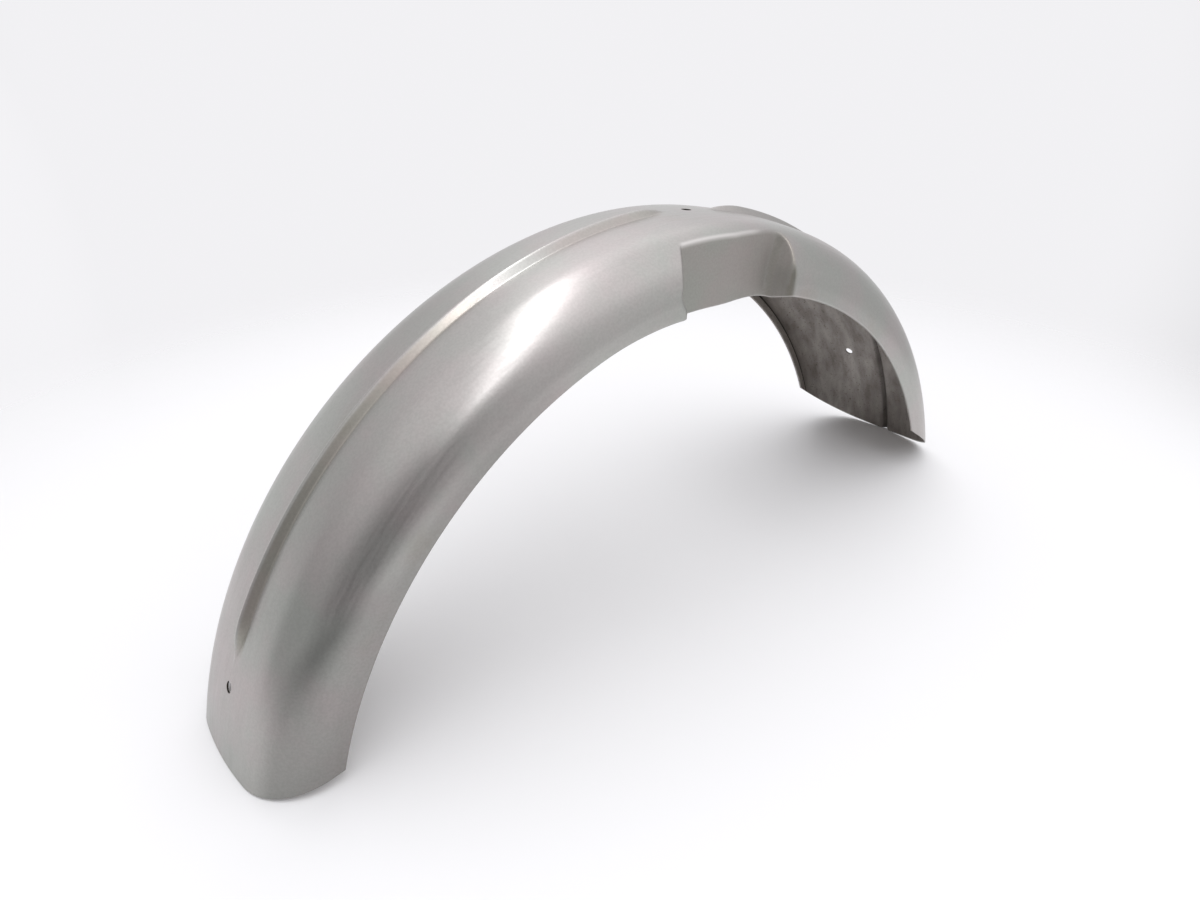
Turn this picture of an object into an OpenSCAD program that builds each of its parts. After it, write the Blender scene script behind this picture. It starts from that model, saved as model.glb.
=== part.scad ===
// Front mudguard for a motorcycle: one pressed sheet-steel blade with a
// raised middle rib, two fork recesses and a folded free edge.
// Millimetres. X runs forwards along the wheel, Y across it, Z up.
// The crown's two ends touch the floor plane at Z = 0.

/* [Blade] */
// Radius from the wheel centre to the outside of the crown
crown_radius = 350; // [300:1:400]
// Angle spanned by the crown between its two ends
arc_angle = 154.8; // [140:0.2:165]
// Width over the two flanks
blade_width = 132; // [118:1:150]
// Depth from the top of the crown to the free edge
blade_depth = 48; // [44:1:60]
// How far the crown has fallen where it would meet the flank plane
crown_camber = 8; // [4:0.5:12]
// Outside radius of the bend between crown and flank
shoulder_radius = 38; // [30:1:40]
// Thickness of the sheet
sheet = 1.2; // [0.8:0.1:1.6]

/* [Ends] */
// Tilt of the rear cut away from a line to the wheel centre
rear_cut_tilt = 22; // [5:1:40]
// Tilt of the front cut away from a line to the wheel centre
front_cut_tilt = 47; // [20:1:55]

/* [Folded edge] */
// Height of the sheet folded back inside each free edge
hem_height = 6; // [3:0.5:8]

/* [Rib] */
// Width of the rib at its foot
rib_width = 14; // [10:0.5:20]
// Height of the rib over the crown
rib_height = 4.5; // [3:0.5:6]
// Angle from the top to the point where the rear stretch of rib dies out
rib_rear_angle = 66.2; // [58:0.2:67]
// Length over which the rib dies out
rib_run = 28; // [20:1:36]
// Plain crown left on each side of the middle hole
rib_hole_gap = 22; // [16:1:30]

/* [Fork recesses] */
// Angle from the top forwards to the middle of the recesses
recess_angle = 6.2; // [0:0.2:12]
// Distance from the flank plane in to the recess floor
recess_depth = 16.5; // [12:0.5:20]
// Length of the flat floor behind the middle
floor_rear = 52; // [40:1:60]
// Length of the flat floor ahead of the middle
floor_front = 45; // [38:1:60]
// Lean of the rear wall
rear_wall_lean = 30; // [5:1:40]
// Lean of the front wall
front_wall_lean = 8; // [5:1:40]
// Radius between floor and rear wall
rear_fillet = 4; // [3:0.5:8]
// Radius between floor and front wall
front_fillet = 4; // [3:0.5:8]
// Outside radius of the bend from flank to wall
mouth_radius = 5; // [4:0.5:7]
// Extra depth of the free edge across the recess
recess_edge_drop = 8; // [4:0.5:10]
// Extra depth of the free edge just behind the recess
edge_dip = 3.5; // [1:0.5:5]
// Length of flank over which that depth grows
edge_dip_length = 62; // [40:1:80]

/* [Holes] */
// Diameter of all four bolt holes
hole_diameter = 7; // [6:0.1:10]
// Angle from the top back to the rear hole
rear_hole_angle = 69.3; // [68.6:0.1:71]
// Angle from the top forwards to the pair of stay holes
stay_hole_angle = 62; // [50:0.5:66]
// Distance across between the two stay holes
stay_hole_spacing = 64; // [50:1:72]

/* [Hidden] */
half_arc = arc_angle / 2;
half_width = blade_width / 2;
edge_radius = crown_radius - blade_depth;
// crown arc through the crown's top and the flank plane at the camber depth
crown_arc = (half_width * half_width + crown_camber * crown_camber) / (2 * crown_camber);
crown_centre = crown_radius - crown_arc;
shoulder_y = half_width - shoulder_radius;
shoulder_turn = asin(shoulder_y / (crown_arc - shoulder_radius));
// arcs cross their neighbours by this much instead of just touching them
bend_overlap = 0.1;
shoulder_x = crown_centre + sqrt(pow(crown_arc - shoulder_radius, 2) - pow(shoulder_y, 2));
// rib flanks: two equal arcs that meet halfway up
rib_turn = 2 * atan(2 * rib_height / rib_width);
rib_arc = rib_width / (4 * sin(rib_turn));
rib_foot = 3;
rib_run_radius = 1 / (2 * rib_height / (rib_run * rib_run) + 1 / crown_radius);
deg_per_mm = 180 / PI / crown_radius;
recess_floor_y = half_width - recess_depth;
// where the arch sits: ends of the crown on the floor, box centred on X
front_reach = (crown_radius + rib_height) * sin(half_arc);
rear_reach = crown_radius * sin(half_arc);
arch_x = (rear_reach - front_reach) / 2;
arch_z = -crown_radius * cos(half_arc);
past_end = 4;
reach = 2 * crown_radius;
dip_start = recess_angle - (floor_rear + recess_depth * tan(rear_wall_lean) + edge_dip_length)
          / edge_radius * 180 / PI;
dip_radius = 1 / (2 * edge_dip / pow(edge_dip_length, 2) + 1 / edge_radius);
stay_lean = asin(stay_hole_spacing / 2 / crown_arc);
sweep_steps = 80;
crown_steps = 90;
bend_steps = 32;
rib_steps = 16;
bore_steps = 32;

// stands a turned shape up so that its axis lies along Y
module upright() {
    rotate([90, 0, 0]) children();
}

// turns a section about the wheel axis from angle a to angle b, both from the top
module around(a, b) {
    upright() rotate([0, 0, 90 - b])
        rotate_extrude(angle = b - a, $fn = sweep_steps) children();
}

// filled cross-section of the blade, drawn at the wheel radius, shrunk by o
module section(o) {
    far = 2 * shoulder_radius;
    bottom = edge_radius - hem_height - recess_edge_drop - 10;
    difference() {
        intersection() {
            translate([crown_centre, 0]) circle(r = crown_arc - o, $fn = crown_steps);
            translate([bottom, -half_width + o])
                square([crown_radius - bottom + 10, blade_width - 2 * o]);
        }
        for (side = [-1, 1])
            translate([shoulder_x + bend_overlap, side * (shoulder_y + bend_overlap)])
                difference() {
                    polygon([[0, 0],
                             [far * cos(shoulder_turn), side * far * sin(shoulder_turn)],
                             [far, side * far],
                             [0, side * far]]);
                    circle(r = shoulder_radius - o, $fn = bend_steps);
                }
    }
}

// filled section of the rib, its crown line at x, shrunk by o, its foot widened by spare
module rib_section(x, o, spare) {
    width = rib_width + 2 * spare;
    difference() {
        translate([x - rib_foot - o, -width / 2])
            square([rib_foot + o + rib_height / 2, width]);
        for (side = [-1, 1])
            translate([x + rib_arc - 2 * bend_overlap, side * rib_width / 2])
                circle(r = rib_arc + o, $fn = rib_steps);
    }
    translate([x + rib_height - rib_arc, 0])
        circle(r = rib_arc + bend_overlap - o, $fn = rib_steps);
}

// what is cut from the rib past angle a, leaving a tail that sinks under the crown
module rib_tail_cut(a, side, o) {
    length = 1.3 * rib_run;
    turn = asin(length / rib_run_radius) + 3;
    rotate([0, a, 0]) difference() {
        translate([side > 0 ? 0 : -length, -rib_width, crown_radius - 4 * rib_foot])
            cube([length, 2 * rib_width, 4 * rib_foot + 2 * rib_height]);
        translate([0, 0, crown_radius - rib_run_radius + bend_overlap])
            around(side > 0 ? -3 : -turn, side > 0 ? turn : 3)
                rib_section(rib_run_radius, o, 2);
    }
}

// both stretches of the rib
module rib(o) {
    tail = rib_run * deg_per_mm;
    gap = rib_hole_gap * deg_per_mm;
    rear_end = -rib_rear_angle;
    difference() {
        around(rear_end - 0.2 * tail, recess_angle - gap + 0.2 * tail)
            rib_section(crown_radius, o, 0);
        rib_tail_cut(rear_end + tail, -1, o);
        rib_tail_cut(recess_angle - gap - tail, 1, o);
    }
    difference() {
        around(recess_angle + gap - 0.2 * tail, half_arc + past_end)
            rib_section(crown_radius, o, 0);
        rib_tail_cut(recess_angle + gap + tail, -1, o);
    }
}

// plan of one side of a recess: floor half-length f, wall lean d, fillet r
module recess_half(f, d, r, o) {
    v = recess_floor_y;
    fillet_u = f - r / tan(45 + d / 2);
    mouth_v = half_width - mouth_radius + bend_overlap;
    mouth_u = f + (mouth_radius + (mouth_v - v) * sin(d)) / cos(d);
    top = half_width + 30;
    far = 4 * mouth_radius;
    difference() {
        polygon([[-1, v - o],
                 [f + o / tan(45 + d / 2), v - o],
                 [mouth_u - mouth_radius * cos(d), mouth_v + mouth_radius * sin(d)],
                 [mouth_u, mouth_v],
                 [mouth_u, top],
                 [-1, top]]);
        translate([mouth_u - bend_overlap, mouth_v])
            circle(r = mouth_radius - o, $fn = bend_steps);
        translate([fillet_u + bend_overlap, v + r - bend_overlap]) difference() {
            polygon([[0, 0],
                     [0, -far],
                     [far, -far],
                     [far * cos(d), -far * sin(d)]]);
            circle(r = r + o, $fn = bend_steps);
        }
    }
}

// solid pressed out of both flanks, grown by o
module recesses(o) {
    for (side = [0, 1])
        mirror([0, side, 0])
            rotate([0, recess_angle, 0])
                translate([0, 0, edge_radius - 60])
                    linear_extrude(height = blade_depth + 100) {
                        recess_half(floor_front, front_wall_lean, front_fillet, o);
                        mirror([1, 0]) recess_half(floor_rear, rear_wall_lean, rear_fillet, o);
                    }
}

// the whole blade as a filled form, shrunk by o
module form(o) {
    difference() {
        union() {
            around(-half_arc - past_end, half_arc + past_end) section(o);
            rib(o);
        }
        recesses(o);
    }
}

// everything nearer the wheel than the line e above the free edge
module wheel_side(e) {
    difference() {
        upright() linear_extrude(height = 2 * blade_width, center = true) difference() {
            circle(r = edge_radius + e, $fn = 2 * sweep_steps);
            rotate(90 - dip_start) difference() {
                polygon([[0, 0], [reach, 0],
                         [reach, -reach * tan(1.1 * edge_dip_length / edge_radius * 180 / PI)]]);
                translate([edge_radius - dip_radius + bend_overlap / 2, 0])
                    circle(r = dip_radius + e, $fn = 2 * sweep_steps);
            }
        }
        intersection() {
            recesses(2 * sheet + 3 * bend_overlap);
            around(-half_arc, half_arc)
                for (side = [-1, 1])
                    polygon([[edge_radius - recess_edge_drop + e, side * (recess_floor_y - 10)],
                             [edge_radius - recess_edge_drop + e, side * recess_floor_y],
                             [edge_radius + e, side * half_width],
                             [edge_radius + e, side * 2 * half_width],
                             [edge_radius + e + 20, side * 2 * half_width],
                             [edge_radius + e + 20, side * (recess_floor_y - 10)]]);
        }
    }
}

// material beyond the two end cuts
module beyond_ends() {
    rotate([0, -half_arc, 0]) translate([0, 0, crown_radius]) rotate([0, -rear_cut_tilt, 0])
        translate([-reach, -reach / 2, -reach / 2]) cube([reach, reach, reach]);
    rotate([0, half_arc, 0]) translate([0, 0, crown_radius]) {
        rotate([0, front_cut_tilt, 0])
            translate([0, -reach / 2, -reach / 2]) cube([reach, reach, reach]);
        translate([0, -reach / 2, -reach / 2]) cube([reach, reach, reach]);
    }
}

// one bolt hole through the crown, a from the top, leaning b across
module bolt_hole(a, b) {
    rotate([0, a, 0]) translate([0, 0, crown_centre]) rotate([-b, 0, 0])
        translate([0, 0, crown_arc - 15])
            cylinder(d = hole_diameter, h = 30, $fn = bore_steps);
}

module mudguard() {
    color([0.62, 0.61, 0.58])
        translate([arch_x, 0, arch_z])
            difference() {
                form(0);
                difference() {
                    form(sheet);
                    wheel_side(hem_height);
                }
                form(2 * sheet);
                wheel_side(0);
                beyond_ends();
                bolt_hole(-rear_hole_angle, 0);
                bolt_hole(recess_angle, 0);
                bolt_hole(stay_hole_angle, stay_lean);
                bolt_hole(stay_hole_angle, -stay_lean);
            }
}

mudguard();
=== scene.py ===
import math

import bmesh
import bpy
import numpy as np
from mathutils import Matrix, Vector


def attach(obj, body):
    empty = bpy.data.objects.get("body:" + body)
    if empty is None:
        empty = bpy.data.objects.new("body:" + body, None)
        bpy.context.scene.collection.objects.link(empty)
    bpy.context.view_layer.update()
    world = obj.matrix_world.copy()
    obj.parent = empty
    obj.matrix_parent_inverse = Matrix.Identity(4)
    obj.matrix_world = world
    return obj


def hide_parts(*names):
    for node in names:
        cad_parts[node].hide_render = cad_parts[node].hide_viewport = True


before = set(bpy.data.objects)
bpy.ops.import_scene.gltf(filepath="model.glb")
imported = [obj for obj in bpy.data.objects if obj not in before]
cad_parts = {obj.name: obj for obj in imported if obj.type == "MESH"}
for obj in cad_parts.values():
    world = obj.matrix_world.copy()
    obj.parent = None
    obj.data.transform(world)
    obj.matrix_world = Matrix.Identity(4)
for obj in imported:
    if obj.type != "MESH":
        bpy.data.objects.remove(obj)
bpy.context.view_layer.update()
print("frame loaded")

rad = math.radians

guard = {
    "crownRadius": 350.0,      # mm, wheel centre to the top of the crown
    "arcAngle": 154.8,         # degrees between the two ends
    "width": 132.0,            # over the flanks
    "depth": 48.0,             # crown to free edge
    "camber": 8.0,             # fall of the crown at the flank plane
    "shoulderRadius": 38.0,
    "sheet": 1.2,
    "rearTilt": 22.0,          # end cuts, degrees off a line to the wheel centre
    "frontTilt": 47.0,
    "hemHeight": 6.0,          # sheet folded back inside the free edge
    "hemRound": 0.2,           # rounding of its cut edge
    "cutBevel": 0.25,          # broken edge of the cut sheet
    "smoothBelow": 33.0,       # sharper bends than this are shaded as edges, degrees
}

rib = {
    "width": 12.4,             # over both feet
    "height": 4.5,
    "crestRound": 2.4,         # radius over its top
    "footRound": 1.5,          # radius where a side meets the crown
    "rearEnd": 66.2,           # degrees back from the top, where the rib has died out
    "run": 28.0,               # length over which it dies out
    "holeGap": 22.0,           # plain crown each side of the middle hole
    "soften": 0.35,            # rounding where it leaves the crown
    "fading": 1.2,             # the painted shade fades with the rib; above 1 it stays full longer
    "shadeBelow": 21.0,        # painted shade on its sides is full further back than this, degrees from the top
    "shadeAbove": 16.0,        # and less so further forwards than this
    "lessShade": 0.5,
    "shadeBlend": 0.08,        # radians over which one passes into the other
    "shadeStart": 1.2,         # mm from the middle line where it begins
    "shadePast": 0.8,          # and how far past the foot it goes
    "shadeSoft": 1.2,
    "grooveShadeWidth": 9.6,          # painted shade in its hollow on the inner face
    "grooveShadeSoft": 2.4,
    "shadeAmount": 0.55,              # how much of it
}

recess = {
    "angle": 6.2,              # degrees forwards to its middle
    "depth": 16.5,
    "floorRear": 52.0,
    "floorFront": 45.0,
    "frontExtra": 3.5,         # the floor runs in this much more from its middle to its front
    "rearLean": 30.0,          # degrees
    "frontLean": 8.0,
    "rearFillet": 4.0,
    "frontFillet": 7.0,
    "mouth": 5.0,              # bend from flank to wall
    "topRound": 1.8,           # bend from crown to recess floor
    "edgeDrop": 8.0,           # free edge is this much deeper across the recess
    "frontDrop": 4.5,          # and this much at the recess's front
    "dropFrom": -15.0,         # mm forwards of its middle where the drop begins to shrink
    "dropOver": 50.0,
    "edgeSoft": 1.2,           # how gently that edge meets the dip
    "dip": 3.5,                # and this much just behind it
    "dipLength": 62.0,
    "cornerReach": 6.5,        # how far the flank's lower corner comes forwards
    "cornerHeight": 14.0,      # over this height
    "cornerSpread": 32.0,      # and this far each way along the blade
    "topReach": 5.5,           # how far the recess's top front corner lies forwards
    "topHeight": 28.0,         # over this height
    "topSpread": 30.0,
}

# the recess's drawn skin, with the painted highlight along its top edge and painted shade in its bends
wearAndPaintedLight = {
    "past": 10.0,              # mm beyond the recess's front where its marks and painted light end
    "edgeBand": 2.6,           # painted highlight line along the recess's top edge, and painted shade at its rim
    "highlightEnd": 32.0,            # where it dies out, mm forwards of the recess's middle
    "highlightFade": 15.0,
    "skinFade": 2.0,           # the recess's drawn skin fades over this
    "floorBendShade": 0.55,         # painted shade in the front bend at the recess's floor
    "mouthShade": 0.45,        # and this much more near the flank
    "mouthBand": 9.0,
    "shadeFade": 20.0,         # it sets in over this, forwards of the recess's middle
}

holes = {
    "radius": 3.5,
    "bevel": 0.2,
    "patch": 7.2,              # half size of the patch of mesh around each hole
    "patchEdge": 1.2,          # the patch's outline lies up to this much inside it
    "collar": 1.35,            # ring of mesh round the hole, share of its radius
    "rear": (-69.3, 0.0),      # degrees from the top, mm across
    "middle": (6.2, 0.0),
    "frontLeft": (62.0, 32.0),
    "frontRight": (62.0, -32.0),
}

grain = {
    "plainStep": 5.0,          # mm between stations along the plain stretches
    "fineStep": 1.7,           # near holes and where the rib dies out
    "shoulderColumns": 30,
    "flankColumns": 15,
    "foldSteps": 8,
    "shoulderCrowd": 1.4,      # above 1, columns crowd towards the recess's edge
    "flankCrowd": 1.35,        # and towards the free edge
    "filletSteps": 8,
    "floorSteps": 16,
    "wallSteps": 5,
    "zoneLead": 0.004,         # the fine steps begin this many radians before a zone
    "tailLead": 0.005,         # and this much more before the rib's end
    "leastStep": 0.003,        # shorter last steps than this are joined to the one before
    "hemShadeColumns": 20,         # columns of painted shadow above the hem's cut edge
    "hemShadeStrength": 1.6,       # above 1, it stays full for the first of them
    "evenings": 2,             # rounds that even out the mesh round the recesses
}

halfWidth = guard["width"] / 2
edgeRadius = guard["crownRadius"] - guard["depth"]
crownArc = (halfWidth ** 2 + guard["camber"] ** 2) / (2 * guard["camber"])
crownCentre = guard["crownRadius"] - crownArc
shoulderY = halfWidth - guard["shoulderRadius"]
shoulderTurn = math.asin(shoulderY / (crownArc - guard["shoulderRadius"]))
crownLength = crownArc * shoulderTurn
shoulderX = crownCentre + (crownArc - guard["shoulderRadius"]) * math.cos(shoulderTurn)
halfArc = rad(guard["arcAngle"] / 2)
recessTurn = rad(recess["angle"])
recessFloor = halfWidth - recess["depth"]
archX = -rib["height"] * math.sin(halfArc) / 2
archZ = -guard["crownRadius"] * math.cos(halfArc)


def sectionAt(turn):
    # outer profile of the blade for a normal that leans by turn from the radial line
    onCrown = turn < shoulderTurn
    y = np.where(onCrown, crownArc * np.sin(turn),
                 shoulderY + guard["shoulderRadius"] * np.sin(turn))
    rho = np.where(onCrown, crownCentre + crownArc * np.cos(turn),
                   shoulderX + guard["shoulderRadius"] * np.cos(turn))
    return rho, y


def turnAtLength(length):
    onShoulder = shoulderTurn + (length - crownLength) / guard["shoulderRadius"]
    return np.where(length < crownLength, length / crownArc, onShoulder)


def lengthAtY(y):
    # girth from the middle line out to y
    if y < crownArc * math.sin(shoulderTurn):
        return crownArc * math.asin(y / crownArc)
    lean = math.asin(min((y - shoulderY) / guard["shoulderRadius"], 1.0))
    return crownLength + guard["shoulderRadius"] * (lean - shoulderTurn)


def smooth(t):
    t = np.clip(t, 0, 1)
    return t * t * (3 - 2 * t)


def ribSlope():
    # angle of the rib's straight sides between crest and foot
    low, high = 0.1, 1.4
    rounds = rib["crestRound"] + rib["footRound"]
    for _ in range(40):
        a = (low + high) / 2
        rise = rounds * (1 - math.cos(a)) + math.tan(a) * (rib["width"] / 2 - rounds * math.sin(a))
        low, high = (a, high) if rise < rib["height"] else (low, a)
    return a


ribLean = ribSlope()


def ribProfile(y):
    # rounded crest, straight sides, rounded feet
    across = np.abs(y)
    half = rib["width"] / 2
    crest, foot = rib["crestRound"], rib["footRound"]
    top = rib["height"] - crest + np.sqrt(np.maximum(crest ** 2 - across ** 2, 0))
    low = foot - np.sqrt(np.maximum(foot ** 2 - (half - across) ** 2, 0))
    start = rib["height"] - crest * (1 - math.cos(ribLean))
    side = start - math.tan(ribLean) * (across - crest * math.sin(ribLean))
    lift = np.where(across < crest * math.sin(ribLean), top, side)
    lift = np.where(across > half - foot * math.sin(ribLean), low, lift)
    return np.where(across < half, lift, 0.0)


def ribSink(theta):
    # how far the rib has sunk into the crown at an angle from the top
    perRad = guard["crownRadius"]
    rearTail = -rad(rib["rearEnd"]) + rib["run"] / perRad
    gap = rib["holeGap"] / perRad
    run = rib["run"] / perRad
    rear = np.maximum(rearTail - theta, 0)
    beforeHole = np.maximum(theta - (recessTurn - gap - run), 0)
    afterHole = np.maximum((recessTurn + gap + run) - theta, 0)
    ahead = theta > recessTurn
    gone = np.where(ahead, afterHole, np.maximum(rear, beforeHole)) / run
    return rib["height"] * gone ** 2


def ribShare(theta):
    # 1 along the full rib, falling to 0 where it has sunk into the crown
    return smooth(rib["fading"] * (1 - ribSink(theta) / rib["height"]))


def ribLift(theta, y):
    # soft upper envelope of the crown and the sunk rib
    raised = ribProfile(y) - ribSink(theta)
    soft = rib["soften"] * np.clip(rib["width"] / 2 - np.abs(y), 0, 1)
    soft = np.maximum(soft, 1e-6)
    blend = np.clip(0.5 + raised / (2 * soft), 0, 1)
    return raised * blend + soft * blend * (1 - blend) * (blend < 1)


def planHalf(floor, lean, fillet, extra):
    # plan of one half of a recess: floor, fillet, wall, bend to the flank
    d = rad(lean)
    level = recessFloor - extra
    centreU = floor - fillet / math.tan(rad(45) + d / 2)
    mouthV = halfWidth - recess["mouth"]
    mouthU = floor + (recess["mouth"] + (mouthV - level) * math.sin(d)) / math.cos(d)
    points = [(u, recessFloor - extra * u / centreU)
              for u in np.linspace(0, centreU, grain["floorSteps"])]
    for a in np.linspace(0, rad(90) - d, grain["filletSteps"])[1:]:
        points.append((centreU + fillet * math.sin(a), level + fillet * (1 - math.cos(a))))
    start = points[-1]
    end = (mouthU - recess["mouth"] * math.cos(d), mouthV + recess["mouth"] * math.sin(d))
    for k in range(1, grain["wallSteps"] + 1):
        share = k / grain["wallSteps"]
        points.append((start[0] + (end[0] - start[0]) * share, start[1] + (end[1] - start[1]) * share))
    for b in np.linspace(d, rad(90), grain["filletSteps"])[1:]:
        points.append((mouthU - recess["mouth"] * math.cos(b), mouthV + recess["mouth"] * math.sin(b)))
    return points


def recessPlan():
    front = planHalf(recess["floorFront"], recess["frontLean"], recess["frontFillet"], recess["frontExtra"])
    rear = planHalf(recess["floorRear"], recess["rearLean"], recess["rearFillet"], 0.0)
    return np.array([(-u, v) for u, v in reversed(rear[1:])] + front)


plan = recessPlan()
planLimit = plan[-1][0] + 60.0


def planDistance(u, v):
    # distance to the recess plan, above zero inside the recess, and its direction
    line = np.vstack([[-planLimit, halfWidth], plan, [planLimit, halfWidth]])
    start, step = line[:-1], line[1:] - line[:-1]
    toPoint = np.stack([u, v], -1)[:, None, :] - start
    share = np.clip((toPoint * step).sum(2) / (step ** 2).sum(1), 0, 1)
    away = toPoint - share[..., None] * step
    far = np.sqrt((away ** 2).sum(2))
    near = far.argmin(1)
    pick = np.arange(len(u))
    normal = np.stack([-step[:, 1], step[:, 0]], -1)[near]
    normal /= np.linalg.norm(normal, axis=1)[:, None]
    gap = far[pick, near]
    sign = np.where((away[pick, near] * normal).sum(1) >= 0, 1.0, -1.0)
    direct = away[pick, near] * sign[:, None] / np.maximum(gap, 1e-9)[:, None]
    return gap * sign, np.where(gap[:, None] < 1e-4, normal, direct)


def bladeDistance(rho, y):
    # distance to the plain blade's outer profile and its direction
    side = np.abs(y)
    lean = np.arctan2(side - shoulderY, rho - shoulderX)
    onCrown = np.arctan2(side, rho - crownCentre) < shoulderTurn
    onFlank = (~onCrown) & (lean > rad(90))
    gap = np.hypot(rho - shoulderX, side - shoulderY) - guard["shoulderRadius"]
    gap = np.where(onCrown, np.hypot(rho - crownCentre, side) - crownArc, gap)
    gap = np.where(onFlank, side - halfWidth, gap)
    turn = np.where(onCrown, np.arctan2(side, rho - crownCentre), lean)
    turn = np.where(onFlank, rad(90), turn)
    return gap, np.cos(turn), np.sin(turn)


def roundedGap(points):
    # blade and recess joined by a bend of the press tool's radius; y is not negative here
    dx, dz = points[:, 0], points[:, 2]
    rho, theta = np.hypot(dx, dz), np.arctan2(dx, dz)
    a, nRho, nY = bladeDistance(rho, points[:, 1])
    u = rho * np.sin(theta - recessTurn)
    b, plane = planDistance(u, points[:, 1])
    radial = np.stack([np.sin(theta), 0 * theta, np.cos(theta)], -1)
    gradA = radial * nRho[:, None] + np.array([0, 1.0, 0]) * nY[:, None]
    along = np.array([math.cos(recessTurn), 0, -math.sin(recessTurn)])
    gradB = along * plane[:, :1] + np.array([0, 1.0, 0]) * plane[:, 1:]
    cross = 1 - (gradA * gradB).sum(1) ** 2
    r = recess["topRound"] * np.clip(cross, 0, 1)
    pa, pb = np.maximum(a + r, 0), np.maximum(b + r, 0)
    both = (a > -r) & (b > -r)
    length = np.maximum(np.hypot(pa, pb), 1e-9)
    gap = np.where(both, length - r, np.maximum(a, b))
    mixed = (gradA * pa[:, None] + gradB * pb[:, None]) / length[:, None]
    grad = np.where(both[:, None], mixed, np.where((a > b)[:, None], gradA, gradB))
    return gap, grad


def settle(points):
    # draws the points onto the rounded surface
    flat = points.reshape(-1, 3).copy()
    for _ in range(6):
        gap, grad = roundedGap(flat)
        flat -= grad * (gap / np.maximum((grad ** 2).sum(1), 0.25))[:, None]
    return flat.reshape(points.shape)


def cutTurn(rho, tilt):
    # how far an end cut has moved in from the crown's end at this radius
    tilt = rad(tilt)
    inner = np.minimum(rho, guard["crownRadius"])
    return np.arcsin(guard["crownRadius"] * math.sin(tilt) / inner) - tilt


def spacedStations(start, end, fineZones):
    # crown angles from start to end, closer together in the fine zones
    stations, s = [start], start
    while s < end:
        fine = any(lo - grain["zoneLead"] < s < hi for lo, hi in fineZones)
        s += (grain["fineStep"] if fine else grain["plainStep"]) / guard["crownRadius"]
        stations.append(min(s, end))
    if stations[-1] - stations[-2] < grain["leastStep"]:
        stations.pop(-2)
    return stations


def holeZone(name):
    # crown angles just before and after a hole's patch
    centre = rad(holes[name][0])
    reach = (holes["patch"] + 1) / guard["crownRadius"]
    return centre - reach, centre + reach


def stretches():
    # each station is a function from radius to angle, with the corner's plan position
    crown = guard["crownRadius"]
    uRear, uFront = plan[0][0], plan[-1][0]
    atRear = recessTurn + math.asin(uRear / crown)
    atFront = recessTurn + math.asin(uFront / crown)
    tail = rib["run"] / crown
    rearTail = -rad(rib["rearEnd"])
    gap = rib["holeGap"] / crown
    rearFine = [holeZone("rear"), (rearTail - grain["tailLead"], rearTail + tail),
                (recessTurn - gap - tail, recessTurn - gap)]
    frontFine = [holeZone("frontLeft"), (recessTurn + gap, recessTurn + gap + tail)]
    bevel = guard["cutBevel"] / crown
    rear = [-halfArc] + spacedStations(-halfArc + bevel, atRear, rearFine)[:-1]
    front = spacedStations(atFront, halfArc - bevel, frontFine)[1:] + [halfArc]
    found = []
    for s in rear:
        found.append(("rear", (s + halfArc) / (atRear + halfArc), halfWidth))
    for u, v in plan:
        found.append(("recess", u, v))
    for s in front:
        found.append(("front", (s - atFront) / (halfArc - atFront), halfWidth))
    return found


def turnOf(station, rho):
    kind, share, _ = station
    if kind == "recess":
        return recessTurn + np.arcsin(share / rho)
    if kind == "rear":
        ending = recessTurn + np.arcsin(plan[0][0] / rho)
        return (1 - share) * (-halfArc + cutTurn(rho, guard["rearTilt"])) + share * ending
    start = recessTurn + np.arcsin(plan[-1][0] / rho)
    return (1 - share) * start + share * (halfArc - cutTurn(rho, guard["frontTilt"]))


def dippedEdge(station):
    # radius of the free edge behind the recess, which dips towards it
    dipStart = recessTurn - (recess["floorRear"] + recess["depth"] * math.tan(rad(recess["rearLean"]))
                             + recess["dipLength"]) / edgeRadius
    curve = 1 / (2 * recess["dip"] / recess["dipLength"] ** 2 + 1 / edgeRadius)
    offset = edgeRadius - curve
    behind = float(turnOf(station, edgeRadius)) - dipStart
    if behind <= 0:
        return edgeRadius
    return offset * math.cos(behind) + math.sqrt(curve ** 2 - (offset * math.sin(behind)) ** 2)


def freeEdge(station):
    # radius of the free edge at this station
    kind, share, v = station
    if kind == "front":
        return edgeRadius
    dipped = dippedEdge(station)
    if kind == "rear":
        return dipped
    lessDrop = smooth((share - recess["dropFrom"]) / recess["dropOver"])
    drop = recess["edgeDrop"] - (recess["edgeDrop"] - recess["frontDrop"]) * lessDrop
    cone = edgeRadius - drop * min((halfWidth - v) / recess["depth"], 1)
    if share > -recess["floorRear"]:
        return cone
    soft = recess["edgeSoft"]
    h = min(max(0.5 + (dipped - cone) / (2 * soft), 0), 1)
    return dipped * (1 - h) + cone * h - soft * h * (1 - h)


# mm across from the middle line: close together over the crest and at the foot
ribColumns = [0, 0.4, 0.8, 1.2, 1.6, 2.0, 2.8, 3.6, 4.4, 5.0, 5.3, 5.6, 5.9, 6.2, 7.2]
# mm up from the free edge: the hem's cut edge first, last where the sheet begins to fold
hemColumns = [guard["hemHeight"], 4.6, 3.3, 2.2, guard["sheet"]]


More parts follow.
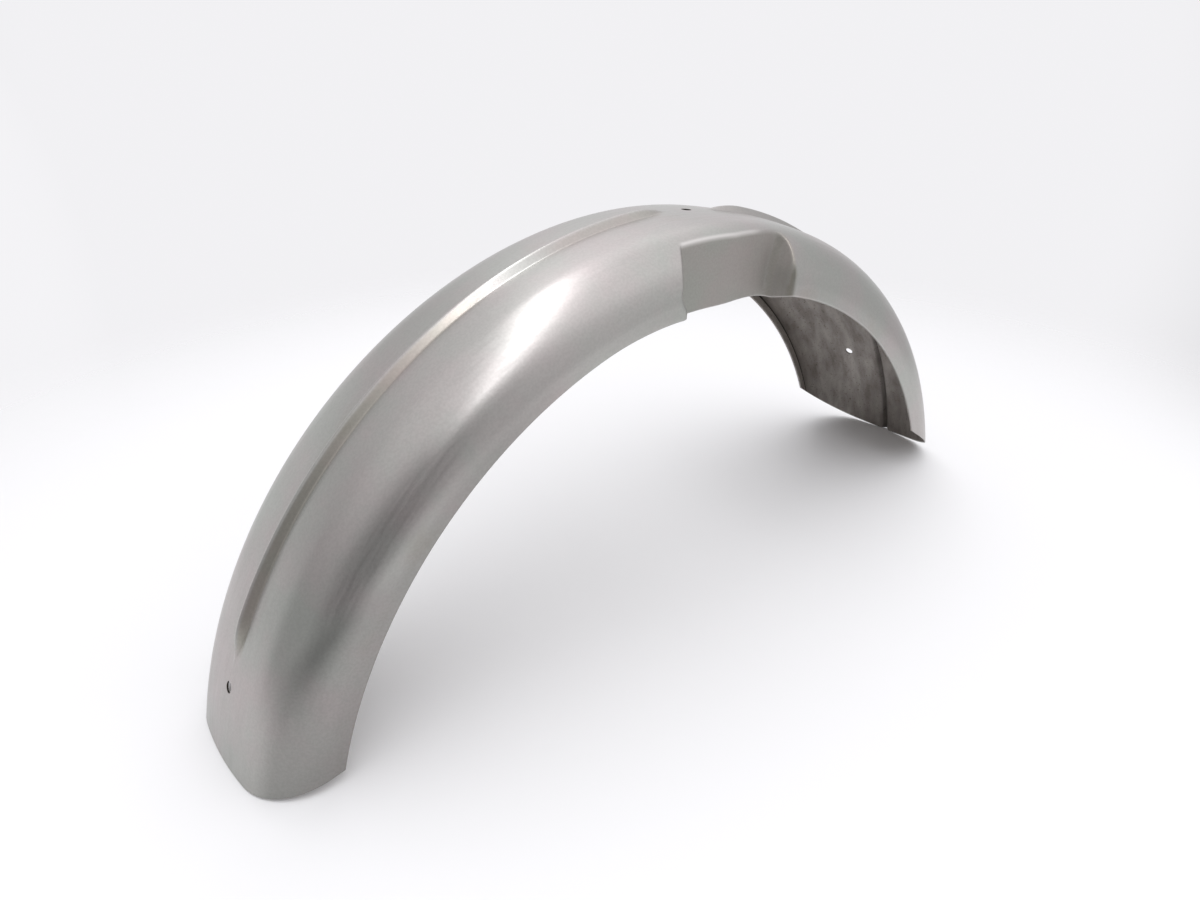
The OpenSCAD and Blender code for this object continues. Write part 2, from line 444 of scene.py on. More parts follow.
def halfSection(station):
    # outer surface at one station from the middle line down to the fold
    v = station[2]
    corner = lengthAtY(min(v, halfWidth))
    begin = lengthAtY(ribColumns[-1])
    k = np.arange(1, grain["shoulderColumns"] + 1) / grain["shoulderColumns"]
    lengths = corner - (corner - begin) * (1 - k) ** grain["shoulderCrowd"]
    crownLengths = [lengthAtY(y) for y in ribColumns]
    rho, y = sectionAt(turnAtLength(np.concatenate([crownLengths, lengths])))
    edge = freeEdge(station)
    hemTop = edge + hemColumns[0]
    k = np.arange(1, grain["flankColumns"] + 1) / grain["flankColumns"]
    down = rho[-1] - (rho[-1] - hemTop) * k ** grain["flankCrowd"]
    down = np.concatenate([down, edge + np.array(hemColumns[1:])])
    rho = np.concatenate([rho, down])
    y = np.concatenate([y, np.full(len(down), y[-1])])
    theta = turnOf(station, rho)
    rho = rho + ribLift(theta, y)
    if station[0] != "recess":
        theta = turnOf(station, rho)
    return np.stack([rho * np.sin(theta), y, rho * np.cos(theta)], -1)


def outerSurface(stations):
    grid = np.array([halfSection(s) for s in stations])
    first = len(ribColumns)
    near = [i for i, s in enumerate(stations) if s[0] == "recess"]
    lo, hi = near[0] - 2, near[-1] + 3
    grid[lo:hi, first:] = settle(grid[lo:hi, first:])
    for _ in range(grain["evenings"]):
        part = grid[lo:hi, first:-len(hemColumns)]
        part[1:-1, 1:-1] = (part[1:-1, 1:-1] * 2 + part[:-2, 1:-1] + part[2:, 1:-1]
                            + part[1:-1, :-2] + part[1:-1, 2:]) / 6
        grid[lo:hi, first:] = settle(grid[lo:hi, first:])
    return grid


def recessMarks(grid, theta, rho):
    # maps of the painted highlight along the recess's top edge, its drawn skin and the painted shade in its
    # front bends
    edgeHighlight, drawn, bendShade = (np.zeros(grid.shape[:2]) for _ in range(3))
    u = rho * np.sin(theta - recessTurn)
    near = np.abs(u) < plan[-1][0] + wearAndPaintedLight["past"]
    u, y = u[near], grid[..., 1][near]
    a, _, _ = bladeDistance(rho[near], y)
    b, plane = planDistance(u, y)
    # painted highlight along the recess's top edge; the same band carries painted shade at the wall's rim
    edge = smooth(1 - np.maximum(np.abs(a), np.abs(b)) / wearAndPaintedLight["edgeBand"])
    ending = smooth((wearAndPaintedLight["highlightEnd"] - u) / wearAndPaintedLight["highlightFade"])
    edgeHighlight[near] = edge * np.clip(plane[:, 1], 0, 1) ** 4 * ending
    onWall = smooth(1 - np.abs(b) / wearAndPaintedLight["skinFade"])
    drawn[near] = onWall * smooth(-a / wearAndPaintedLight["skinFade"])
    # painted shade in the recess's front bends, deeper near the flank, and at the wall's rim
    stainAndShade = wearAndPaintedLight["floorBendShade"] + wearAndPaintedLight["mouthShade"] * (y > halfWidth - wearAndPaintedLight["mouthBand"])
    bent = 2 * np.abs(plane[:, 0] * plane[:, 1]) * stainAndShade
    bends = np.maximum(onWall * bent, edge * plane[:, 0] ** 2)
    bendShade[near] = bends * smooth(u / wearAndPaintedLight["shadeFade"])
    return {"edgeHighlight": edgeHighlight, "drawn": drawn, "bendShade": np.clip(bendShade, 0, 1)}


def ribSideShade(side, theta):
    # painted shade along the rear rib's sides
    soft, blend = rib["shadeSoft"], rib["shadeBlend"]
    foot = rib["width"] / 2 + rib["shadePast"]
    across = smooth((side - rib["shadeStart"]) / soft) * smooth((foot - side) / soft)
    full = smooth((-rad(rib["shadeBelow"]) - theta) / blend)
    less = rib["lessShade"] * smooth((theta + rad(rib["shadeAbove"])) / blend)
    return across * np.maximum(full, less) * ribShare(theta) * (theta < recessTurn)


def marksAndPaintedLight(grid):
    theta = np.arctan2(grid[..., 0], grid[..., 2])
    rho = np.hypot(grid[..., 0], grid[..., 2])
    # recess marks with their painted highlight and shade, and painted shade on the rib's sides
    return {**recessMarks(grid, theta, rho), "paintedShade": ribSideShade(np.abs(grid[..., 1]), theta)}


def slide(grid, reach, height, centre, width):
    # slides part of the sheet lengthwise along the blade: height is 0 to 1, full at 1
    theta = np.arctan2(grid[..., 0], grid[..., 2])
    rho = np.hypot(grid[..., 0], grid[..., 2])
    u = rho * np.sin(theta - recessTurn)
    near = smooth(1 - np.abs(u - centre) / width)
    theta = theta + reach * height * near / rho
    return np.stack([rho * np.sin(theta), grid[..., 1], rho * np.cos(theta)], -1)


def slideCorners(grid):
    # brings the flank's lower corner and the recess's top front corner forwards
    rho = np.hypot(grid[..., 0], grid[..., 2])
    low = smooth((edgeRadius + recess["cornerHeight"] - rho) / recess["cornerHeight"])
    low = low * smooth((grid[..., 1] - recessFloor) / recess["depth"])
    grid = slide(grid, recess["cornerReach"], low, plan[0][0], recess["cornerSpread"])
    flankTop = guard["crownRadius"] - guard["camber"]
    high = smooth((rho - flankTop + recess["topHeight"]) / recess["topHeight"])
    return slide(grid, recess["topReach"], high, plan[-1][0], recess["topSpread"])


def surfaceNormals(grid):
    mirrored = grid[:, 1:2] * np.array([1, -1, 1])
    wide = np.concatenate([mirrored, grid, 2 * grid[:, -1:] - grid[:, -2:-1]], axis=1)
    across = slope(wide, 1)[:, 1:-1]
    along = slope(grid, 0)
    normal = np.cross(along, across)
    normal /= np.linalg.norm(normal, axis=2)[..., None]
    quarter = len(grid) // 4
    outward = normal[quarter, 0] @ grid[quarter, 0]
    return normal * np.sign(outward)


def slope(grid, axis):
    # centred difference that allows for uneven spacing
    grid = np.moveaxis(grid, axis, 0)
    step = np.linalg.norm(np.diff(grid, axis=0), axis=2)[..., None]
    chord = np.diff(grid, axis=0) / np.maximum(step, 1e-9)
    out = np.empty_like(grid)
    out[0], out[-1] = chord[0], chord[-1]
    out[1:-1] = (chord[:-1] * step[1:] + chord[1:] * step[:-1]) / (step[1:] + step[:-1])
    return np.moveaxis(out, 0, axis)


def closedSections(grid, normal):
    # turns the outer surface into the folded sheet: fold, hem and inner face, both sides
    sheet = guard["sheet"]
    last = grid.shape[1] - 1
    hemTop = last - len(hemColumns) + 1
    inner = grid - normal * sheet
    hem = grid - normal * 2 * sheet
    down = grid[:, last] - grid[:, last - 1]
    down /= np.linalg.norm(down, axis=1)[:, None]
    middle = grid[:, last] - normal[:, last] * sheet
    parts = [grid]
    for k in range(1, grain["foldSteps"]):
        a = math.pi * k / grain["foldSteps"]
        parts.append((middle + sheet * (normal[:, last] * math.cos(a) + down * math.sin(a)))[:, None])
    parts.append(hem[:, last:hemTop - 1:-1])
    step = guard["hemRound"]
    n = normal[:, hemTop]
    parts.append((grid[:, hemTop] - n * (2 * sheet - step) - down * step)[:, None])
    parts.append((inner[:, hemTop] - down * step)[:, None])
    parts.append(inner[:, hemTop - 1::-1])
    half = np.concatenate(parts, axis=1)
    flipped = half[:, -2:0:-1] * np.array([1, -1, 1])
    return np.concatenate([half, flipped], axis=1), half.shape[1]


def trimEnds(loops):
    # brings each end onto its cut plane and breaks the edges of the cut sheet
    for i, way, tilt in ((0, -1, guard["rearTilt"]), (-1, 1, guard["frontTilt"])):
        along = loops[i - 2 * way] - loops[i]
        along /= np.linalg.norm(along, axis=1)[:, None]
        radial = np.array([way * math.sin(halfArc), 0, math.cos(halfArc)])
        outward = np.array([way * math.cos(halfArc), 0, -math.sin(halfArc)])
        lean = math.tan(rad(tilt))
        high = loops[i] @ radial - guard["crownRadius"]
        past = loops[i] @ outward - np.minimum(high, 0) * lean
        speed = along @ outward - np.where(high < 0, along @ radial, 0) * lean
        loops[i] -= along * (past / speed)[:, None]
        loops[i - way] = loops[i] + along * guard["cutBevel"]
        tangent = np.roll(loops[i], -1, 0) - np.roll(loops[i], 1, 0)
        inward = np.cross(tangent, along)
        inward /= np.linalg.norm(inward, axis=1)[:, None]
        if inward[0] @ loops[i][0] > 0:
            inward = -inward
        loops[i] += inward * guard["cutBevel"]
    return loops


class SheetMesh:
    # collects the sheet's points, its faces, which of them lie inside, and the marks, painted light and
    # shade among them
    def __init__(self, loops, half, marks):
        self.stations, self.count = loops.shape[:2]
        self.points = [tuple(p) for p in loops.reshape(-1, 3)]
        self.faces = []
        self.inside = []
        self.half = half
        self.marks = {name: {self.index(i, side * j): found[i, j] for side in (1, -1)
                             for i, j in zip(*np.nonzero(found))} for name, found in marks.items()}

    def add(self, face, inside=False):
        self.faces.append(face)
        self.inside.append(inside)

    def index(self, i, k):
        return i * self.count + k % self.count

    def outer(self, i, j):
        return self.index(i, j)

    def inner(self, i, j):
        k = self.half - 1 - abs(j)
        return self.index(i, k if j >= 0 else -k)


def skin(mesh, skipped, fold):
    for i in range(mesh.stations - 1):
        for k in range(mesh.count):
            if (i, k) not in skipped:
                quad = (mesh.index(i, k), mesh.index(i, k + 1),
                        mesh.index(i + 1, k + 1), mesh.index(i + 1, k))
                mesh.add(quad, fold <= k < mesh.count - fold)


def shadeHem(mesh, first):
    # painted shadow in the corner along the hem's cut edge, fading up the inner face
    for i in range(mesh.stations):
        for n in range(grain["hemShadeColumns"]):
            shadeAmount = min(1, grain["hemShadeStrength"] * (1 - n / grain["hemShadeColumns"]))
            mesh.marks["paintedShade"][mesh.index(i, first + n)] = shadeAmount
            mesh.marks["paintedShade"][mesh.index(i, -first - n)] = shadeAmount


def shadeGroove(mesh, grid):
    # painted shade in the hollow of the rib on the inner face
    deep = rib["shadeAmount"] * ribShare(np.arctan2(grid[:, 0, 0], grid[:, 0, 2]))
    for i in range(mesh.stations):
        for j, y in enumerate(ribColumns):
            shadeAmount = float(deep[i] * smooth((rib["grooveShadeWidth"] / 2 - y) / rib["grooveShadeSoft"]))
            for side in (1, -1):
                mesh.marks["paintedShade"][mesh.index(i, side * (mesh.half - 1 - j))] = shadeAmount


def capEnds(mesh, hemTop):
    # the cut edge of the sheet at both ends
    for i in (0, mesh.stations - 1):
        for side in (1, -1):
            for j in range(hemTop):
                a, b = j * side, (j + 1) * side
                mesh.add((mesh.outer(i, a), mesh.outer(i, b), mesh.inner(i, b), mesh.inner(i, a)))
            rim = list(range(hemTop, mesh.half - hemTop))
            mesh.add(tuple(mesh.index(i, k * side) for k in rim))


def patchRange(values, centre, half):
    inside = [n for n, s in enumerate(values) if abs(s - centre) <= half]
    return inside[0] - 1, inside[-1] + 1


def holePatch(mesh, grid, spot):
    # stations and columns of the quads that make way for a hole
    along, y = rad(spot[0]) * guard["crownRadius"], spot[1]
    reach = holes["patch"] - holes["patchEdge"]
    crownColumns = len(ribColumns) + grain["shoulderColumns"]
    column = int(np.abs(grid[len(grid) // 4, :crownColumns, 1] - abs(y)).argmin())
    row = grid[:, column]
    lengths = np.arctan2(row[:, 0], row[:, 2]) * guard["crownRadius"]
    i0, i1 = patchRange(lengths, along, reach)
    here = int(np.abs(lengths - along).argmin())
    across = grid[here, :crownColumns, 1]
    signed = np.concatenate([-across[:0:-1], across])
    j0, j1 = patchRange(signed, y, reach)
    return i0, i1, j0 - len(across) + 1, j1 - len(across) + 1


def holeSkips(mesh, box):
    i0, i1, j0, j1 = box
    skipped = set()
    for i in range(i0, i1):
        for j in range(j0, j1):
            skipped.add((i, j % mesh.count))
            k = mesh.half - 1 - abs(j)
            skipped.add((i, k - 1 if j >= 0 else (-k - 1) % mesh.count))
    return skipped


def rimOf(box):
    i0, i1, j0, j1 = box
    rim = [(i0, j) for j in range(j0, j1)] + [(i, j1) for i in range(i0, i1)]
    rim += [(i1, j) for j in range(j1, j0, -1)] + [(i, j0) for i in range(i1, i0, -1)]
    return rim


def holeFrame(spot):
    # a hole's middle on the crown's arc and its directions: forward, sideways, outward
    theta = rad(spot[0])
    lean = math.asin(spot[1] / crownArc)
    forward = np.array([math.cos(theta), 0, -math.sin(theta)])
    radial = np.array([math.sin(theta), 0, math.cos(theta)])
    axis = radial * math.cos(lean) + np.array([0, math.sin(lean), 0])
    return radial * crownCentre + axis * crownArc, forward, np.cross(axis, forward), axis


def punchHole(mesh, box, spot):
    # joins the patch's edge on both faces to the wall of a round hole
    centre, forward, sideways, axis = holeFrame(spot)
    rim = rimOf(box)
    outerRim = [mesh.outer(i, j) for i, j in rim]
    aways = [np.array(mesh.points[n]) - centre for n in outerRim]
    angles = [math.atan2(away @ sideways, away @ forward) for away in aways]
    r, bevel, sheet = holes["radius"], holes["bevel"], guard["sheet"]
    mouth = 1.0 + bevel / r
    rings = [outerRim]
    for size, depth in ((holes["collar"], 0), (mouth, 0), (1.0, bevel),
                        (1.0, sheet - bevel), (mouth, sheet), (holes["collar"], sheet)):
        ring = []
        for a in angles:
            spotOn = centre + size * r * (forward * math.cos(a) + sideways * math.sin(a))
            # the hole's wall is painted near black, a painted shade for the dark seen through the hole
            mesh.marks["paintedShade"][len(mesh.points)] = float(size == 1.0)
            ring.append(len(mesh.points))
            mesh.points.append(tuple(onBlade(spotOn, axis) - axis * depth))
        rings.append(ring)
    rings.append([mesh.inner(i, j) for i, j in rim])
    joinRings(mesh, rings)


def joinRings(mesh, rings):
    for step, (first, second) in enumerate(zip(rings, rings[1:])):
        for n in range(len(first)):
            m = (n + 1) % len(first)
            mesh.add((first[n], first[m], second[m], second[n]), step > 1)


def onBlade(point, axis):
    # slides a point along the hole's axis onto the blade's outer face
    for _ in range(3):
        rho = math.hypot(point[0], point[2])
        gap = bladeDistance(np.array([rho]), np.array([point[1]]))[0][0]
        point = point - axis * gap
    return point


def buildGuard():
    stations = stretches()
    grid = outerSurface(stations)
    marks = marksAndPaintedLight(grid)
    grid = slideCorners(grid)
    normal = surfaceNormals(grid)
    loops, half = closedSections(grid, normal)
    loops = trimEnds(loops)
    last = grid.shape[1] - 1
    mesh = SheetMesh(loops, half, marks)
    skipped, boxes = set(), []
    for name in ("rear", "middle", "frontLeft", "frontRight"):
        box = holePatch(mesh, grid, holes[name])
        boxes.append((box, holes[name]))
        skipped |= holeSkips(mesh, box)
    skin(mesh, skipped, last + grain["foldSteps"] // 2)
    shadeHem(mesh, last + grain["foldSteps"] + len(hemColumns))
    shadeGroove(mesh, grid)
    capEnds(mesh, last - len(hemColumns) + 1)
    for box, spot in boxes:
        punchHole(mesh, box, spot)
    print("blade:", len(stations), "stations,", len(mesh.faces), "faces")
    return meshObject(mesh)


def meshObject(mesh):
    points = np.array(mesh.points)
    place = (points + np.array([archX, 0, archZ])) * 0.001
    place[:, 2] = np.maximum(place[:, 2], 0)       # the two ends stand on the table
    used = sorted({n for f in mesh.faces for n in f})
    new = {n: k for k, n in enumerate(used)}
    data = bpy.data.meshes.new("mudguardBlade")
    data.from_pydata([tuple(place[n]) for n in used], [], [tuple(new[n] for n in f) for f in mesh.faces])
    turnFacesOut(data)
    addGirthMap(data, points[used])
    data.polygons.foreach_set("material_index", np.array(mesh.inside, dtype=np.int32))
    for name, found in mesh.marks.items():
        values = data.attributes.new(name, "FLOAT", "POINT")
        values.data.foreach_set("value", np.array([found.get(n, 0.0) for n in used], dtype=np.float32))
    blade = bpy.data.objects.new("mudguardBlade", data)
    bpy.context.scene.collection.objects.link(blade)
    return blade


def addGirthMap(data, points):
    # map of metres along the blade and round its section, for the lengthwise patterns
    theta = np.arctan2(points[:, 0], points[:, 2])
    rho = np.hypot(points[:, 0], points[:, 2])
    girth = points[:, 1] + np.sign(points[:, 1]) * (guard["crownRadius"] - rho)
    vertexUv = np.stack([theta * guard["crownRadius"], girth], -1) * 0.001
    loopVertex = np.zeros(len(data.loops), dtype=np.int32)
    data.loops.foreach_get("vertex_index", loopVertex)
    layer = data.uv_layers.new(name="girth")
    layer.data.foreach_set("uv", vertexUv[loopVertex].astype(np.float32).ravel())


def turnFacesOut(data):
    bm = bmesh.new()
    bm.from_mesh(data)
    bmesh.ops.recalc_face_normals(bm, faces=bm.faces)
    for face in bm.faces:
        face.smooth = True
    for edge in bm.edges:
        edge.smooth = edge.calc_face_angle(0.0) < rad(guard["smoothBelow"])
    bm.to_mesh(data)
    bm.free()


# each pair called an edge gives the two noise values between which its colour comes in
steel = {
    "colour": (0.440, 0.424, 0.408),
    "coolTint": (0.422, 0.431, 0.404),
    "coolEdge": (0.35, 0.65),
    "warmTint": (0.462, 0.420, 0.412),
    "warmEdge": (0.42, 0.70),
    "warmShare": 0.9,
    "stainAndShade": (0.36, 0.335, 0.285),   # olive smears
    "stainEdge": (0.62, 0.78),
    "stainShare": 0.5,
    "edgeHighlight": (0.72, 0.70, 0.68),    # painted highlight along the recess's top edge
    "drawnTint": (0.82, 0.81, 0.79), # in the recess
    "bendShadeTint": (0.64, 0.63, 0.58),  # painted shade in the bends at the recess's front
    "ribShadeTint": (0.86, 0.83, 0.78), # painted shade along the rib's sides
    "speckle": 0.035,                # how much lighter and darker the fine speckle is
    "speckleEdge": (0.35, 0.65),
    "roughness": 0.33,
    "roughnessSpread": 0.04,
    "roughnessEdge": (0.3, 0.7),
    "drawnRoughness": 0.60,
    "drawnMetal": 0.5,               # the recess's dull skin hides some of the metal
    "blotchSize": 0.085,             # metres
    "warmSize": 0.04474,
    "smearSize": 0.10625,
    "smearSqueeze": 2.5,             # how far smears are drawn out along the blade
    "streakSize": 0.030,
    "streakSqueeze": 9.0,
    "speckleSize": 0.0016,
    "waveSize": 0.07,
    "waveDepth": 0.0003,
}

# painted shade towards the rear end, low on the flank and at the end; places in metres along the blade and
# round its section
rearShade = {
    "low": 0.72,                     # share of the colour left low on the rear flank
    "lowGirth": (0.088, 0.110),      # metres from the middle line between which it sets in
    "lowAlong": (-0.22, -0.10),      # and along the blade, from the top
    "higher": 0.045,                 # it begins this much higher up near the end
    "higherAlong": (-0.40, -0.30),
    "end": 0.90,                     # share left at the rear end
    "endAlong": (-0.47, -0.37),
}

scale = {
    "light": (0.46, 0.43, 0.405),
    "dark": (0.285, 0.26, 0.24),
    "patchEdge": (0.35, 0.68),
    "streakEdge": (0.55, 0.80),
    "streakShare": 0.5,
    "speckleDark": (0.17, 0.15, 0.13),
    "speckEdge": (0.60, 0.72),
    "speckShare": 0.8,
    "paintedShade": (0.035, 0.03, 0.026),   # painted shade in the holes, the rib's hollow and along the hem
    "roughness": 0.52,
    "roughnessSpread": 0.10,
    "roughnessEdge": (0.3, 0.7),
    "patchSize": 0.034,
    "patchSqueeze": 2.5,
    "streakSize": 0.006,
    "streakSqueeze": 6.0,
    "speckSize": 0.0018,
    "pitDepth": 0.00006,
}


def addNode(tree, kind, x, y, **inputs):
    node = tree.nodes.new(kind)
    node.location = (x, y)
    for name, value in inputs.items():
        node.inputs[name].default_value = value
    return node


def noise(tree, vector, size, detail, x, y):
    node = addNode(tree, "ShaderNodeTexNoise", x, y, Scale=1 / size, Detail=detail, Roughness=0.55)
    tree.links.new(vector, node.inputs["Vector"])
    return node.outputs["Fac"]


def spread(tree, value, edge, low, high, x, y, kind="LINEAR"):
    # low to high while the value goes from one edge to the other
    node = addNode(tree, "ShaderNodeMapRange", x, y)
    node.interpolation_type = kind
    for name, amount in (("From Min", edge[0]), ("From Max", edge[1]), ("To Min", low), ("To Max", high)):
        node.inputs[name].default_value = amount
    tree.links.new(value, node.inputs["Value"])
    return node.outputs["Result"]


def eased(tree, value, edge, low, high, x, y):
    return spread(tree, value, edge, low, high, x, y, "SMOOTHSTEP")


def axesOf(tree, vector, x, y):
    node = addNode(tree, "ShaderNodeSeparateXYZ", x, y)
    tree.links.new(vector, node.inputs["Vector"])
    return node.outputs


def combine(tree, kind, first, second, x, y):
    node = addNode(tree, "ShaderNodeMath", x, y)
    node.operation = kind
    tree.links.new(first, node.inputs[0])
    tree.links.new(second, node.inputs[1])
    return node.outputs["Value"]


def mixColour(tree, share, first, second, x, y, kind="MIX"):
    node = addNode(tree, "ShaderNodeMix", x, y)
    node.data_type = "RGBA"
    node.blend_type = kind
    for socket, value in ((node.inputs[0], share), (node.inputs[6], first), (node.inputs[7], second)):
        if hasattr(value, "is_output"):
            tree.links.new(value, socket)
        else:
            socket.default_value = value if isinstance(value, float) else (*value, 1)
    return node.outputs[2]


def newFinish(name):
    material = bpy.data.materials.new(name)
    material.use_nodes = True
    tree = material.node_tree
    shader = tree.nodes["Principled BSDF"]
    shader.inputs["Metallic"].default_value = 1.0
    shader.location = (1100, 200)
    tree.nodes["Material Output"].location = (1400, 200)
    return material, tree, shader


def bump(tree, height, distance, x, y):
    node = addNode(tree, "ShaderNodeBump", x, y, Strength=1.0, Distance=distance)
    tree.links.new(height, node.inputs["Height"])
    return node.outputs["Normal"]


def lengthwise(tree, place, squeeze, x, y):
    # coordinates that draw a pattern out along the blade
    node = addNode(tree, "ShaderNodeMapping", x, y, Scale=(1.0, squeeze, 1.0))
    tree.links.new(place.outputs["UV"], node.inputs["Vector"])
    return node.outputs["Vector"]


def mark(tree, name, x, y):
    node = addNode(tree, "ShaderNodeAttribute", x, y)
    node.attribute_name = name
    return node.outputs["Fac"]


def lowOnFlank(tree, axes):
    # where the flank's painted shade lies: 0 to 1 towards the free edge on the rear part, starting higher
    # up near the end
    down = addNode(tree, "ShaderNodeMath", -800, -700)
    down.operation = "ABSOLUTE"
    tree.links.new(axes["Y"], down.inputs[0])
    lift = eased(tree, axes["X"], rearShade["higherAlong"], rearShade["higher"], 0.0, -800, -1000)
    reach = combine(tree, "ADD", down.outputs["Value"], lift, -600, -850)
    low = eased(tree, reach, rearShade["lowGirth"], 0.0, 1.0, -400, -700)
    back = eased(tree, axes["X"], rearShade["lowAlong"], 1.0, 0.0, -400, -1000)
    return combine(tree, "MULTIPLY", low, back, -200, -850)


def steelClouds(tree, place):
    # soft cool and warm clouds, olive smears and a fine speckle
    here = place.outputs["Object"]
    drawnOut = lengthwise(tree, place, steel["smearSqueeze"], -1500, 0)
    cloud = noise(tree, here, steel["blotchSize"], 3.0, -1300, 400)
    warm = noise(tree, here, steel["warmSize"], 4.0, -1300, 200)
    smear = noise(tree, drawnOut, steel["smearSize"], 3.0, -1300, 0)
    speckle = noise(tree, here, steel["speckleSize"], 1.0, -1300, -450)
    toned = mixColour(tree, spread(tree, cloud, steel["coolEdge"], 0, 1, -1000, 400),
                      steel["coolTint"], steel["colour"], -800, 400)
    toned = mixColour(tree, spread(tree, warm, steel["warmEdge"], 0, steel["warmShare"], -1000, 200),
                      toned, steel["warmTint"], -600, 350)
    toned = mixColour(tree, spread(tree, smear, steel["stainEdge"], 0, steel["stainShare"], -1000, 0),
                      toned, steel["stainAndShade"], -400, 300)
    light, dark = 1 + steel["speckle"], 1 - steel["speckle"]
    fleck = mixColour(tree, spread(tree, speckle, steel["speckleEdge"], 0, 1, -1000, -450),
                      (dark,) * 3, (light,) * 3, -800, 100)
    return mixColour(tree, 1.0, toned, fleck, -200, 250, "MULTIPLY")


def steelMarks(tree, place, toned):
    # painted highlight along the recess's top edge, dull recess skin, painted shade in the recess's front
    # bends, along the rib's sides and on the rear flank and end
    axes = axesOf(tree, place.outputs["UV"], -1000, -700)
    # painted highlight along the recess's top edge
    toned = mixColour(tree, mark(tree, "edgeHighlight", -200, 0), toned, steel["edgeHighlight"], 0, 250)
    atEnd = eased(tree, axes["X"], rearShade["endAlong"], 1.0, 0.0, 0, -1100)
    # painted shade in the front bends, along the rib's sides, low on the rear flank and at the rear end;
    # the drawn skin is darker
    layers = [(mark(tree, "drawn", 0, 0), steel["drawnTint"]),
              (mark(tree, "bendShade", 200, 0), steel["bendShadeTint"]),
              (mark(tree, "paintedShade", 400, 0), steel["ribShadeTint"]),
              (lowOnFlank(tree, axes), (rearShade["low"],) * 3),
              (atEnd, (rearShade["end"],) * 3)]
    for n, (share, tint) in enumerate(layers):
        toned = mixColour(tree, share, toned, tint, 200 + 150 * n, 250, "MULTIPLY")
    return toned


def roughnessOf(tree, value, finish, x, y):
    middle, half = finish["roughness"], finish["roughnessSpread"]
    return spread(tree, value, finish["roughnessEdge"], middle - half, middle + half, x, y)


def steelMaterial():
    # clean pressed steel, duller in the recess
    material, tree, shader = newFinish("bareSteel")
    place = addNode(tree, "ShaderNodeTexCoord", -1600, 0)
    toned = steelMarks(tree, place, steelClouds(tree, place))
    tree.links.new(toned, shader.inputs["Base Color"])
    drawnOut = lengthwise(tree, place, steel["streakSqueeze"], -1500, -250)
    streak = noise(tree, drawnOut, steel["streakSize"], 2.0, -1300, -250)
    drawn = mark(tree, "drawn", -200, -250)
    dull = addNode(tree, "ShaderNodeMix", 200, -250, B=steel["drawnRoughness"])
    tree.links.new(drawn, dull.inputs["Factor"])
    tree.links.new(roughnessOf(tree, streak, steel, -800, -250), dull.inputs["A"])
    tree.links.new(dull.outputs["Result"], shader.inputs["Roughness"])
    metal = spread(tree, drawn, (0, 1), 1, steel["drawnMetal"], 200, -50)
    tree.links.new(metal, shader.inputs["Metallic"])
    wave = noise(tree, place.outputs["Object"], steel["waveSize"], 1.0, -1300, -650)
    tree.links.new(bump(tree, wave, steel["waveDepth"], -800, -650), shader.inputs["Normal"])
    return material


def scaleMaterial():
    # inner face and hole walls: dull steel with darker patches, streaks and specks, and painted shade in
    # the holes, the rib's hollow and along the hem
    material, tree, shader = newFinish("dullSteel")
    place = addNode(tree, "ShaderNodeTexCoord", -1600, 0)
    broad = lengthwise(tree, place, scale["patchSqueeze"], -1500, 300)
    narrow = lengthwise(tree, place, scale["streakSqueeze"], -1500, 50)
    patch = noise(tree, broad, scale["patchSize"], 4.0, -1300, 300)
    streak = noise(tree, narrow, scale["streakSize"], 4.0, -1300, 50)
    speck = noise(tree, place.outputs["Object"], scale["speckSize"], 2.0, -1300, -200)
    toned = mixColour(tree, spread(tree, patch, scale["patchEdge"], 0, 1, -1000, 300),
                      scale["light"], scale["dark"], -700, 300)
    toned = mixColour(tree, spread(tree, streak, scale["streakEdge"], 0, scale["streakShare"], -1000, 50),
                      toned, scale["dark"], -500, 250)
    toned = mixColour(tree, spread(tree, speck, scale["speckEdge"], 0, scale["speckShare"], -1000, -200),
                      toned, scale["speckleDark"], -300, 200)
    # painted shade in the holes, the rib's hollow and along the hem's cut edge
    toned = mixColour(tree, mark(tree, "paintedShade", -300, 0), toned, scale["paintedShade"], -100, 200)
    tree.links.new(toned, shader.inputs["Base Color"])
    tree.links.new(roughnessOf(tree, patch, scale, -700, -100), shader.inputs["Roughness"])
    tree.links.new(bump(tree, speck, scale["pitDepth"], -700, -300), shader.inputs["Normal"])
    return material


studio = {
    "cameraPlace": (-0.40337, -0.43941, 0.40896),
    "cameraTurn": (62.015, 0.540, -39.482),      # degrees
    "lens": 26.01,                               # mm on a 36 mm wide frame
    "floorRadius": 0.95,
    "floorColour": (0.865, 0.865, 0.865),
    "floorRoughness": 0.9,
    "floorGloss": 0.2,
    "fadeFrom": 0.50,                            # metres from the middle
    "fadeTo": 0.90,
}

